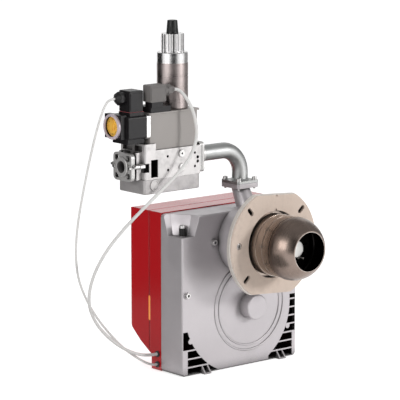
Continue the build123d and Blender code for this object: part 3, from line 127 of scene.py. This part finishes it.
# ---- materials ----
class Surface:
    """A node-based material built up step by step on one Principled shader."""

    def __init__(self, name, colour, rough, metal=0.0, coat=0.0, specular=0.5, sheen=0.0):
        self.made = bpy.data.materials.new(name)
        self.made.use_nodes = True
        self.tree = self.made.node_tree
        self.shader = self.tree.nodes["Principled BSDF"]
        self.colour = colour
        self.rough = rough
        self.put("Base Color", (*colour, 1))
        self.put("Roughness", rough)
        self.put("Metallic", metal)
        self.put("Coat Weight", coat)
        self.put("Coat Roughness", 0.12)
        self.put("Specular IOR Level", specular)
        self.put("Sheen Weight", sheen)
        coords = self.node("ShaderNodeTexCoord")
        self.place = coords.outputs["Object"]
        self.height = None

    def put(self, socket, value):
        self.shader.inputs[socket].default_value = value

    def node(self, kind, **facts):
        made = self.tree.nodes.new(kind)
        for name, value in facts.items():
            setattr(made, name, value)
        return made

    def link(self, a, b):
        self.tree.links.new(a, b)

    def stretched(self, stretch):
        """The object's own coordinates, scaled apart along each axis."""
        mapping = self.node("ShaderNodeMapping")
        mapping.inputs["Scale"].default_value = stretch
        self.link(self.place, mapping.inputs["Vector"])
        return mapping.outputs["Vector"]

    def noise(self, scale, detail=4.0, stretch=(1, 1, 1), rough=0.55):
        made = self.node("ShaderNodeTexNoise")
        made.inputs["Scale"].default_value = scale
        made.inputs["Detail"].default_value = detail
        made.inputs["Roughness"].default_value = rough
        self.link(self.stretched(stretch), made.inputs["Vector"])
        return made.outputs["Fac"]

    def spread(self, source, low, high, at0=0.3, at1=0.7):
        made = self.node("ShaderNodeMapRange")
        for name, value in (("From Min", at0), ("From Max", at1), ("To Min", low), ("To Max", high)):
            made.inputs[name].default_value = value
        self.link(source, made.inputs["Value"])
        return made.outputs["Result"]

    def tone(self, source, other, at0=0.35, at1=0.65, most=1.0):
        """Mixes the colour so far towards another where source is high."""
        mix = self.node("ShaderNodeMix", data_type="RGBA")
        self.link(self.spread(source, 0.0, most, at0, at1), mix.inputs["Factor"])
        base = self.shader.inputs["Base Color"]
        if base.links:
            self.link(base.links[0].from_socket, mix.inputs["A"])
        else:
            mix.inputs["A"].default_value = base.default_value
        mix.inputs["B"].default_value = (*other, 1)
        self.link(mix.outputs["Result"], base)
        return self

    def vary_rough(self, source, low, high):
        self.link(self.spread(source, low, high), self.shader.inputs["Roughness"])
        return self

    def bump(self, source, depth, strength=1.0):
        made = self.node("ShaderNodeBump")
        made.inputs["Strength"].default_value = strength
        made.inputs["Distance"].default_value = depth
        self.link(source, made.inputs["Height"])
        if self.height:
            self.link(self.height, made.inputs["Normal"])
        self.height = made.outputs["Normal"]
        self.link(self.height, self.shader.inputs["Normal"])
        return self

    def soft_edges(self, radius):
        """Rounds the corners' shading, as on a cast, moulded or painted part."""
        made = self.node("ShaderNodeBevel", samples=6)
        made.inputs["Radius"].default_value = radius
        self.height = made.outputs["Normal"]
        self.link(self.height, self.shader.inputs["Normal"])
        return self

    def worn_and_highlit_edges(self, colour, radius, most=0.8):
        """Bare, lighter metal along the corners, broken up by noise: partly wear, partly a painted highlight
        on the edges.
        """
        bevel = self.node("ShaderNodeBevel", samples=6)
        bevel.inputs["Radius"].default_value = radius
        flat = self.node("ShaderNodeNewGeometry")
        dot = self.node("ShaderNodeVectorMath", operation="DOT_PRODUCT")
        self.link(bevel.outputs["Normal"], dot.inputs[0])
        self.link(flat.outputs["Normal"], dot.inputs[1])
        turn = self.node("ShaderNodeMath", operation="SUBTRACT")
        turn.inputs[0].default_value = 1.0
        self.link(dot.outputs["Value"], turn.inputs[1])
        broken = self.node("ShaderNodeMath", operation="MULTIPLY")
        self.link(turn.outputs["Value"], broken.inputs[0])
        self.link(self.spread(self.noise(90), 0.2, 1.6), broken.inputs[1])
        return self.tone(broken.outputs["Value"], colour, 0.02, 0.25, most)

    def painted_crevice_shade(self, reach, colour=(0.02, 0.018, 0.016), most=0.9, open_at=0.42, shut_at=0.85):
        """Painted shade in holes, slots and inner corners, darkened by ambient occlusion."""
        shut = self.node("ShaderNodeAmbientOcclusion", samples=8)
        shut.inputs["Distance"].default_value = reach
        inverse = self.node("ShaderNodeMath", operation="SUBTRACT")
        inverse.inputs[0].default_value = 1.0
        self.link(shut.outputs["AO"], inverse.inputs[1])
        return self.tone(inverse.outputs["Value"], colour, open_at, shut_at, most)

    def in_box(self, middle, half):
        """1 inside an upright box in the row frame, 0 outside it."""
        product = None
        for axis, at, reach in zip("XYZ", middle, half):
            near = self.node("ShaderNodeMath", operation="COMPARE")
            near.inputs[1].default_value = at
            near.inputs[2].default_value = reach
            self.link(self.along(axis), near.inputs[0])
            if product is None:
                product = near.outputs["Value"]
                continue
            both = self.node("ShaderNodeMath", operation="MULTIPLY")
            self.link(product, both.inputs[0])
            self.link(near.outputs["Value"], both.inputs[1])
            product = both.outputs["Value"]
        return product

    def inside(self, colour, most=1.0):
        """Nearly black colour on the surfaces that face the blast tube's axis."""
        facing = self.node("ShaderNodeNewGeometry")
        flat_place = self.stretched((1, 0, 1))
        dot = self.node("ShaderNodeVectorMath", operation="DOT_PRODUCT")
        self.link(facing.outputs["True Normal"], dot.inputs[0])
        self.link(flat_place, dot.inputs[1])
        inward = self.node("ShaderNodeMath", operation="MULTIPLY")
        inward.inputs[1].default_value = -1.0
        self.link(dot.outputs["Value"], inward.inputs[0])
        return self.tone(inward.outputs["Value"], colour, 0.001, 0.004, most)

    def along(self, axis):
        """One coordinate of the place on the object, in metres."""
        parts = self.node("ShaderNodeSeparateXYZ")
        self.link(self.place, parts.inputs["Vector"])
        return parts.outputs[axis]


def painted_shade_within(made, lows, highs, colour=(0.012, 0.011, 0.011)):
    """Painted shade on the unlit inner faces of a hollow casting between two corners."""
    middle = [(a + b) / 2 for a, b in zip(lows, highs)]
    half = [(b - a) / 2 for a, b in zip(lows, highs)]
    return made.tone(made.in_box(middle, half), colour, 0.4, 0.6)


def paint(name, colour, rough, orange_peel=0.00004, coat=0.25, specular=0.35, edge=0.0016):
    made = Surface(name, colour, rough, coat=coat, specular=specular).soft_edges(edge)
    made.tone(made.noise(6, 1), tuple(c * 0.88 for c in colour), 0.4, 0.75, 0.6)
    made.vary_rough(made.noise(12, 1), rough - 0.03, rough + 0.05)
    if orange_peel:
        made.bump(made.noise(300, 2), orange_peel)
    return made


def cast_paint(name, colour, rough=0.42):
    """Silver paint over a die-cast skin: fine grain, painted shade in the corners, and worn edges that are
    partly a painted highlight.
    """
    made = Surface(name, colour, rough, metal=0.5).soft_edges(0.0012)
    made.tone(made.noise(7, 5), tuple(c * 0.84 for c in colour), 0.42, 0.8, 0.6)
    made.tone(made.noise(1500, 1), tuple(min(1, c * 1.25) for c in colour), 0.55, 0.75, 0.5)
    # lighter edges: partly wear, partly a painted highlight
    made.worn_and_highlit_edges((0.86, 0.85, 0.85), 0.0010, 0.55)
    # painted shade: darker colour in the pockets, holes and inner corners, at a wide and a narrow reach
    made.painted_crevice_shade(0.045, (0.10, 0.095, 0.095), 0.9, 0.26, 0.62)
    made.painted_crevice_shade(0.02)
    made.vary_rough(made.noise(45), rough - 0.08, rough + 0.10)
    return made.bump(made.noise(900, 3), 0.00008)


def die_cast(name, colour, rough, grain=0.00010, machined=False):
    """Bare die-cast aluminium, a little cloudy, with bright edges that are partly a painted highlight, and
    painted shade in its corners and holes.
    """
    made = Surface(name, colour, rough, metal=0.55).soft_edges(0.0008)
    made.tone(made.noise(30, 6, rough=0.65), tuple(c * 0.62 for c in colour), 0.45, 0.75, 0.8)
    # lighter edges: partly wear, partly a painted highlight
    made.worn_and_highlit_edges((0.95, 0.95, 0.94), 0.0008, 0.6)
    # painted shade: darker colour in the holes and inner corners
    made.painted_crevice_shade(0.03, (0.06, 0.056, 0.054), 0.85, 0.32, 0.75)
    made.painted_crevice_shade(0.014)
    made.vary_rough(made.noise(120), rough - 0.08, rough + 0.12)
    if machined:
        return made.bump(made.noise(500, 2, (0.05, 1, 1)), 0.00003)
    return made.bump(made.noise(800, 3), grain)


def bare_metal(name, colour, rough, stretch=(1, 1, 1), scratch=0.00003, cloud=0.75, shade=0.0):
    """Plated, drawn or turned metal: clouded, faintly scratched, and with painted shade in its corners if
    shade is set.
    """
    made = Surface(name, colour, rough, metal=1.0)
    if shade:
        # painted shade in the corners
        made.painted_crevice_shade(shade)
    made.tone(made.noise(18, 5), tuple(c * cloud for c in colour), 0.4, 0.7, 0.8)
    made.vary_rough(made.noise(60, 4, stretch), rough - 0.06, rough + 0.12)
    return made.bump(made.noise(420, 3, stretch), scratch)


def heat_tinted(name, colour, hot, y_cold, y_hot):
    """Heat-resisting steel, turned, with a brown bloom that grows towards the mouth."""
    made = Surface(name, colour, 0.34, metal=0.95)
    bloom = made.spread(made.along("Y"), 0.0, 1.0, y_cold, y_hot)
    shaken = made.node("ShaderNodeMath", operation="MULTIPLY")
    made.link(bloom, shaken.inputs[0])
    made.link(made.spread(made.noise(14, 2), 0.7, 1.2), shaken.inputs[1])
    made.tone(shaken.outputs["Value"], hot, 0.1, 0.9)
    made.tone(made.noise(22, 4, (1, 2, 1)), tuple(c * 0.7 for c in colour), 0.55, 0.8, 0.3)
    # lighter edges: partly wear, partly a painted highlight
    made.worn_and_highlit_edges((0.62, 0.58, 0.55), 0.0012, 0.8)
    made.inside((0.010, 0.009, 0.009))
    made.vary_rough(made.noise(50, 2, (0.2, 2, 0.2)), 0.22, 0.32)
    return made.bump(made.noise(260, 2, (0.02, 3, 0.02)), 0.000012)


def plastic(name, colour, rough, grain=0.00003, edge=0.0008, dust=0.15):
    made = Surface(name, colour, rough, specular=0.3).soft_edges(edge)
    made.tone(made.noise(35, 4), tuple(min(1, c * 1.6 + 0.006) for c in colour), 0.5, 0.8, dust)
    made.vary_rough(made.noise(160), rough - 0.06, rough + 0.1)
    return made.bump(made.noise(1300, 2), grain)


def rubber(name, colour):
    made = Surface(name, colour, 0.75, sheen=0.2)
    return made.bump(made.noise(600, 3), 0.00008)


def fibre_board(name, colour):
    """Pressed mineral-fibre gasket: soft flecks and a napped surface."""
    made = Surface(name, colour, 0.92, sheen=0.3, specular=0.2).soft_edges(0.0008)
    made.tone(made.noise(60, 6, rough=0.7), tuple(c * 0.86 for c in colour), 0.48, 0.7, 0.7)
    made.tone(made.noise(420, 2), (0.80, 0.70, 0.62), 0.6, 0.75, 0.5)
    return made.bump(made.noise(520, 5, rough=0.7), 0.00016)


def amber_lens(name):
    made = Surface(name, (0.92, 0.36, 0.08), 0.22, coat=0.5)
    made.put("Transmission Weight", 0.25)
    # painted glow: the lens gives off a faint amber light of its own
    made.put("Emission Color", (1.0, 0.32, 0.06, 1))
    made.put("Emission Strength", 0.18)
    return made.bump(made.noise(1, 0, (1, 1, 900)), 0.00012)


def clear_plastic(name):
    made = Surface(name, (0.80, 0.70, 0.76), 0.30, coat=0.2)
    made.put("Transmission Weight", 0.45)
    made.put("IOR", 1.45)
    return made.bump(made.noise(60, 2), 0.00001)


def dial_face(name):
    """Yellow moulded dial with darker flecks of printing grime."""
    made = Surface(name, (0.90, 0.52, 0.07), 0.38, coat=0.2).soft_edges(0.0004)
    made.tone(made.noise(160, 4), (0.80, 0.36, 0.05), 0.5, 0.7, 0.7)
    return made.bump(made.noise(900, 2), 0.00004)


def sheathing(name, colour):
    """Soft white cable sheath, faintly grey where it has been handled."""
    made = Surface(name, colour, 0.5, sheen=0.15)
    made.tone(made.noise(12, 5), tuple(c * 0.80 for c in colour), 0.45, 0.75, 0.6)
    return made.bump(made.noise(200, 2), 0.00002)


# painted shade: the housing's inside and a slot at each pocket's screw boss are painted near black
HOUSING_SKIN = 0.0015        # only what lies deeper than this in a hollow piece is dark
PLATE_DEPTH = 0.0620         # the inlet plate behind the casting's front face
POCKET_WIDE = 0.050
POCKET_DEEP = 0.046
BOSS_FROM_SIDE = 0.017       # the pocket's screw boss: place and size
BOSS_R = 0.0070
BOSS_LEAN = 0.0005
BOSS_FRONT = (0.008, 0.0245)
BOSS_TOP = (0.022, 0.039)


def housing():
    """The casting's paint, with painted shade: its inside made dark below and between the corner pockets,
    and at each pocket's screw boss.
    """
    made = cast_paint("housing_paint", (0.52, 0.49, 0.505), 0.40)
    low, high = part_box("front_casting")
    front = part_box("inlet_plate")[0].y - PLATE_DEPTH + HOUSING_SKIN
    back = high.y + 0.01
    painted_shade_within(made, (low.x + HOUSING_SKIN, front, low.z + HOUSING_SKIN),
                (high.x - HOUSING_SKIN, back, high.z - POCKET_DEEP))
    for boss_x in (low.x + BOSS_FROM_SIDE, high.x - BOSS_FROM_SIDE):
        near, far = (front + depth for depth in BOSS_FRONT)
        top, bottom = (high.z - drop for drop in BOSS_TOP)
        middle = boss_x - BOSS_LEAN
        painted_shade_within(made, (middle - BOSS_R, near, bottom), (middle + BOSS_R, far, top))
    return painted_shade_within(made, (low.x + POCKET_WIDE, front, high.z - POCKET_DEEP),
                       (high.x - POCKET_WIDE, back, high.z - HOUSING_SKIN))


# what is painted near black as shade in the valve's front: its lowest and highest corner across the front,
# and its depth
VALVE_WINDOW = ((-0.2575, 0.1505), (-0.2395, 0.1855), 0.030)
VALVE_PORT = ((-0.2715, 0.1615), (-0.2605, 0.1795), 0.012)
VALVE_PLUG_HEAD = 0.0045


def valve_casting():
    """Bright machined casting whose front window and corner port are painted near black as shade."""
    made = die_cast("valve_alu", (0.59, 0.57, 0.565), 0.44, machined=True)
    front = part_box("valve_plugs")[0].y + VALVE_PLUG_HEAD
    for (x0, z0), (x1, z1), depth in (VALVE_WINDOW, VALVE_PORT):
        painted_shade_within(made, (x0, front, z0), (x1, front + depth, z1))
    return made


MATERIALS = {
    "gasket_fibre": fibre_board("gasket_fibre", (0.66, 0.545, 0.465)),
    "flange_metal": die_cast("flange_metal", (0.74, 0.69, 0.64), 0.45),
    # shade=0.006 paints shade into the screws' corners
    "screw_steel": bare_metal("screw_steel", (0.66, 0.65, 0.64), 0.30, shade=0.006),
    "tube_steel": heat_tinted("tube_steel", (0.42, 0.35, 0.305), (0.14, 0.095, 0.07), -0.012, -0.058),
    "head_steel": heat_tinted("head_steel", (0.145, 0.105, 0.085), (0.25, 0.195, 0.168), -0.05, -0.10),
    "lance_metal": bare_metal("lance_metal", (0.66, 0.65, 0.63), 0.42),
    "disc_steel": bare_metal("disc_steel", (0.035, 0.032, 0.030), 0.55),
    "ceramic": Surface("ceramic", (0.86, 0.83, 0.77), 0.2, coat=0.6),
    "housing_paint": housing(),
    "cover_paint": paint("cover_paint", (0.46, 0.006, 0.010), 0.22, 0.0, coat=0.4, edge=0.004),
    "amber_button": amber_lens("amber_button"),
    "black_rubber": rubber("black_rubber", (0.02, 0.02, 0.02)),
    # painted shade: this near-black finish is given to the inlet plate and other parts inside the casting,
    # to stand for the shade there
    "black_sheet": plastic("black_sheet", (0.014, 0.014, 0.014), 0.6),
    "galvanised": bare_metal("galvanised", (0.52, 0.53, 0.55), 0.42, cloud=0.6),
    "fan_metal": bare_metal("fan_metal", (0.66, 0.66, 0.67), 0.36),
    "shaft_steel": bare_metal("shaft_steel", (0.62, 0.62, 0.62), 0.22, (0.1, 6, 0.1)),
    "motor_metal": die_cast("motor_metal", (0.33, 0.34, 0.35), 0.5),
    "control_plastic": plastic("control_plastic", (0.08, 0.09, 0.11), 0.45),
    "transformer_black": plastic("transformer_black", (0.03, 0.03, 0.03), 0.4),
    "switch_grey": plastic("switch_grey", (0.50, 0.51, 0.50), 0.45),
    "servo_black": plastic("servo_black", (0.04, 0.04, 0.04), 0.45),
    "pipe_steel": bare_metal("pipe_steel", (0.44, 0.445, 0.44), 0.42, cloud=0.78, scratch=0.00005),
    "valve_alu": valve_casting(),
    "base_alu": die_cast("base_alu", (0.43, 0.41, 0.41), 0.46, 0.00022),
    "inlet_alu": die_cast("inlet_alu", (0.55, 0.54, 0.53), 0.34),
    "coil_grey": paint("coil_grey", (0.335, 0.31, 0.295), 0.42, 0.00008, 0.1),
    "bright_plate": bare_metal("bright_plate", (0.80, 0.79, 0.78), 0.30, scratch=0.00001, cloud=0.9),
    "switch_black": plastic("switch_black", (0.009, 0.008, 0.009), 0.36),
    "dial_yellow": dial_face("dial_yellow"),
    "clear_ring": clear_plastic("clear_ring"),
    "seal_red": rubber("seal_red", (0.50, 0.03, 0.05)),
    "plug_grey": plastic("plug_grey", (0.155, 0.145, 0.140), 0.5),
    "tower_anodised": bare_metal("tower_anodised", (0.37, 0.32, 0.31), 0.27, (0.02, 0.02, 1), 0.00001, 0.92),
    "chrome": bare_metal("chrome", (0.68, 0.67, 0.67), 0.17, (0.02, 0.02, 1), 0.000005, 0.95),
    "cap_black": plastic("cap_black", (0.008, 0.009, 0.009), 0.42),
    "cable_white": sheathing("cable_white", (0.70, 0.69, 0.675)),
}

for part in frame["record"]["subparts"]:
    holder = NODES[part["node"]]
    holder.data.materials.clear()
    holder.data.materials.append(MATERIALS[part["material_slot"]].made)
for run in (coil_cable, switch_cable):
    run.data.materials.append(MATERIALS["cable_white"].made)


# ---- small pieces that the frame carries ----
def finished(name, mesh_maker, material, body):
    """Builds a mesh piece, gives it its material and rides it on a body."""
    shape = bmesh.new()
    mesh_maker(shape)
    mesh = bpy.data.meshes.new(name)
    shape.to_mesh(mesh)
    shape.free()
    piece = bpy.data.objects.new(name, mesh)
    bpy.context.collection.objects.link(piece)
    mesh.materials.append(material.made)
    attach(piece, body)
    return piece


def bar(shape, place, size):
    """A rectangular bar with the given placement matrix and size."""
    made = bmesh.ops.create_cube(shape, size=1)["verts"]
    bmesh.ops.transform(shape, matrix=place @ Matrix.Diagonal((*size, 1)), verts=made)


DIAL_LOW, DIAL_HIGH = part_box("setting_dial")
DIAL_Y = (DIAL_LOW.y + DIAL_HIGH.y) / 2
DIAL_Z = (DIAL_LOW.z + DIAL_HIGH.z) / 2
DIAL_X = DIAL_LOW.x - 0.0001


def dial_marks(shape):
    """Plain setting marks round the dial, every third one longer."""
    for k in range(24):
        long = 0.0042 if k % 3 == 0 else 0.0024
        turn = Matrix.Translation((DIAL_X, DIAL_Y, DIAL_Z)) @ Matrix.Rotation(radians(15 * k), 4, "X")
        bar(shape, turn @ Matrix.Translation((0, 0, 0.0165 - long / 2)), (0.0003, 0.0006, long))


finished("dial_marks", dial_marks, MATERIALS["cap_black"], "dial")


FILTER_BOSS_R = 0.0105
FILTER_BOSS_PROUD = 0.0016
FILTER_BOSS_RIM = 0.0018
FILTER_BOSS_FROM_END = 0.0245
FILTER_BOSS_EDGE = 0.0004
BASE_LOW, BASE_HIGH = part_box("valve_base")


def filter_boss(shape):
    """Turned boss over the filter, on the front of the valve's base: a dished face in a raised rim."""
    middle = Vector((BASE_LOW.x + FILTER_BOSS_FROM_END, BASE_LOW.y, BASE_HIGH.z - FILTER_BOSS_R * 1.05))
    dish_r, dish = FILTER_BOSS_R - FILTER_BOSS_RIM, FILTER_BOSS_PROUD * 0.4
    profile = [(0, dish), (dish_r - 0.0006, dish), (dish_r, FILTER_BOSS_PROUD),
               (FILTER_BOSS_R - FILTER_BOSS_EDGE, FILTER_BOSS_PROUD),
               (FILTER_BOSS_R, FILTER_BOSS_PROUD - FILTER_BOSS_EDGE),
               (FILTER_BOSS_R, -FILTER_BOSS_PROUD), (0, -FILTER_BOSS_PROUD)]
    points = [shape.verts.new(middle + Vector((r, -out, 0))) for r, out in profile]
    edges = [shape.edges.new(pair) for pair in zip(points, points[1:])]
    bmesh.ops.spin(shape, geom=points + edges, cent=middle, axis=(0, 1, 0), angle=2 * pi, steps=64)
    bmesh.ops.remove_doubles(shape, verts=shape.verts, dist=1e-6)
    bmesh.ops.recalc_face_normals(shape, faces=shape.faces)


finished("filter_boss", filter_boss, MATERIALS["valve_alu"], "burner")

# ---- stage and light ----
FLOOR_Z = CAD_BOX[0][2] - 0.0005


def sight_rays(tree):
    """1 for the rays that look at the background, straight or through metal and glass."""
    path = tree.nodes.new("ShaderNodeLightPath")
    seen_by = path.outputs["Is Camera Ray"]
    for ray in ("Is Glossy Ray", "Is Transmission Ray"):
        either = tree.nodes.new("ShaderNodeMath")
        either.operation = "MAXIMUM"
        tree.links.new(seen_by, either.inputs[0])
        tree.links.new(path.outputs[ray], either.inputs[1])
        seen_by = either.outputs["Value"]
    return seen_by


def pale_stage():
    """A white floor that keeps the burner's shadow."""
    made = bpy.data.materials.new("stage_white")
    made.use_nodes = True
    tree = made.node_tree
    shader = tree.nodes["Principled BSDF"]
    shader.inputs["Base Color"].default_value = (0.93, 0.93, 0.93, 1)
    shader.inputs["Roughness"].default_value = 0.9
    mesh = bpy.data.meshes.new("floor")
    mesh.from_pydata([(-9, -9, 0), (9, -9, 0), (9, 9, 0), (-9, 9, 0)], [], [(0, 1, 2, 3)])
    floor = bpy.data.objects.new("floor", mesh)
    floor.location.z = FLOOR_Z
    mesh.materials.append(made)
    bpy.context.collection.objects.link(floor)
    white = tree.nodes.new("ShaderNodeEmission")
    white.inputs["Strength"].default_value = 0.62
    lifted = tree.nodes.new("ShaderNodeAddShader")
    gate = tree.nodes.new("ShaderNodeMixShader")
    tree.links.new(shader.outputs[0], lifted.inputs[0])
    tree.links.new(white.outputs[0], lifted.inputs[1])
    tree.links.new(sight_rays(tree), gate.inputs[0])
    tree.links.new(shader.outputs[0], gate.inputs[1])
    tree.links.new(lifted.outputs[0], gate.inputs[2])
    tree.links.new(gate.outputs[0], tree.nodes["Material Output"].inputs["Surface"])


pale_stage()

world = bpy.data.worlds.new("studio")
bpy.context.scene.world = world
world.use_nodes = True
sky = world.node_tree
sky_out = sky.nodes["World Output"]
room = sky.nodes["Background"]
room.inputs["Color"].default_value = (1, 1, 1, 1)
room.inputs["Strength"].default_value = 0.42
seen = sky.nodes.new("ShaderNodeBackground")
seen.inputs["Color"].default_value = (1, 1, 1, 1)
seen.inputs["Strength"].default_value = 1.0
pick = sky.nodes.new("ShaderNodeMixShader")
sky.links.new(sight_rays(sky), pick.inputs[0])
sky.links.new(room.outputs[0], pick.inputs[1])
sky.links.new(seen.outputs[0], pick.inputs[2])
sky.links.new(pick.outputs[0], sky_out.inputs["Surface"])


def lamp(name, place, size, watts):
    """A soft square lamp aimed at the middle of the burner."""
    light = bpy.data.lights.new(name, "AREA")
    light.size = size
    light.energy = watts
    holder = bpy.data.objects.new(name, light)
    holder.location = place
    aim = Vector((-0.08, 0.05, 0.05)) - Vector(place)
    holder.rotation_euler = aim.to_track_quat("-Z", "Y").to_euler()
    bpy.context.collection.objects.link(holder)


def sheet(name, surface, corners):
    """A flat studio card, seen only in reflections: it draws the grey bands on bright metal."""
    mesh = bpy.data.meshes.new(name)
    mesh.from_pydata(corners, [], [(0, 1, 2, 3)])
    made = bpy.data.objects.new(name, mesh)
    mesh.materials.append(surface)
    made.visible_camera = False
    made.visible_diffuse = False
    made.visible_shadow = False
    bpy.context.collection.objects.link(made)


def card(name, surface, azimuth, distance, wide, high):
    """A card standing on the floor beside the set."""
    turn = radians(azimuth)
    foot = Vector((distance * sin(turn), -distance * cos(turn), FLOOR_Z))
    across = Vector((cos(turn), sin(turn), 0)) * wide / 2
    rise = Vector((0, 0, high))
    sheet(name, surface, [foot - across, foot + across, foot + across + rise, foot - across + rise])


def lying_card(name, surface, low, high, height):
    """A level card between two corners."""
    (x0, y0), (x1, y1) = low, high
    sheet(name, surface, [(x0, y0, height), (x1, y0, height), (x1, y1, height), (x0, y1, height)])


def card_surface(name, brightness):
    """A matt card's surface: black, or glowing evenly like a lit reflector."""
    made = bpy.data.materials.new(name)
    made.use_nodes = True
    shader = made.node_tree.nodes["Principled BSDF"]
    shader.inputs["Base Color"].default_value = (0.01, 0.01, 0.01, 1)
    shader.inputs["Specular IOR Level"].default_value = 0.0
    shader.inputs["Emission Color"].default_value = (1, 1, 1, 1)
    shader.inputs["Emission Strength"].default_value = brightness
    return made


CARD_AWAY = 1.9
CARD_HIGH = 2.1
GREY_CARD = card_surface("card_grey", 0.34)
DARK_CARD = card_surface("card_dark", 0.02)
card("card_front", DARK_CARD, -34, CARD_AWAY, 1.0, CARD_HIGH)
card("card_behind_camera", GREY_CARD, -33, CARD_AWAY + 0.05, 2.0, CARD_HIGH)
card("card_right", GREY_CARD, 86, CARD_AWAY, 2.1, CARD_HIGH)
card("card_left", GREY_CARD, -142, CARD_AWAY, 1.5, CARD_HIGH)
card("card_side", DARK_CARD, -143, 0.9, 0.9, 0.95)
lying_card("card_top", GREY_CARD, (-CARD_AWAY, -CARD_AWAY), (CARD_AWAY, CARD_AWAY), CARD_AWAY)
lying_card("card_floor", GREY_CARD, (-1.1, -0.2), (-0.2, 1.1), FLOOR_Z + 0.001)
lamp("key", (1.35, -2.7, 0.85), 0.6, 44)
lamp("left", (-3.0, -0.4, 1.0), 1.6, 32)
lamp("top", (0.3, 0.5, 2.6), 1.4, 14)
bpy.context.scene.view_settings.view_transform = "Standard"
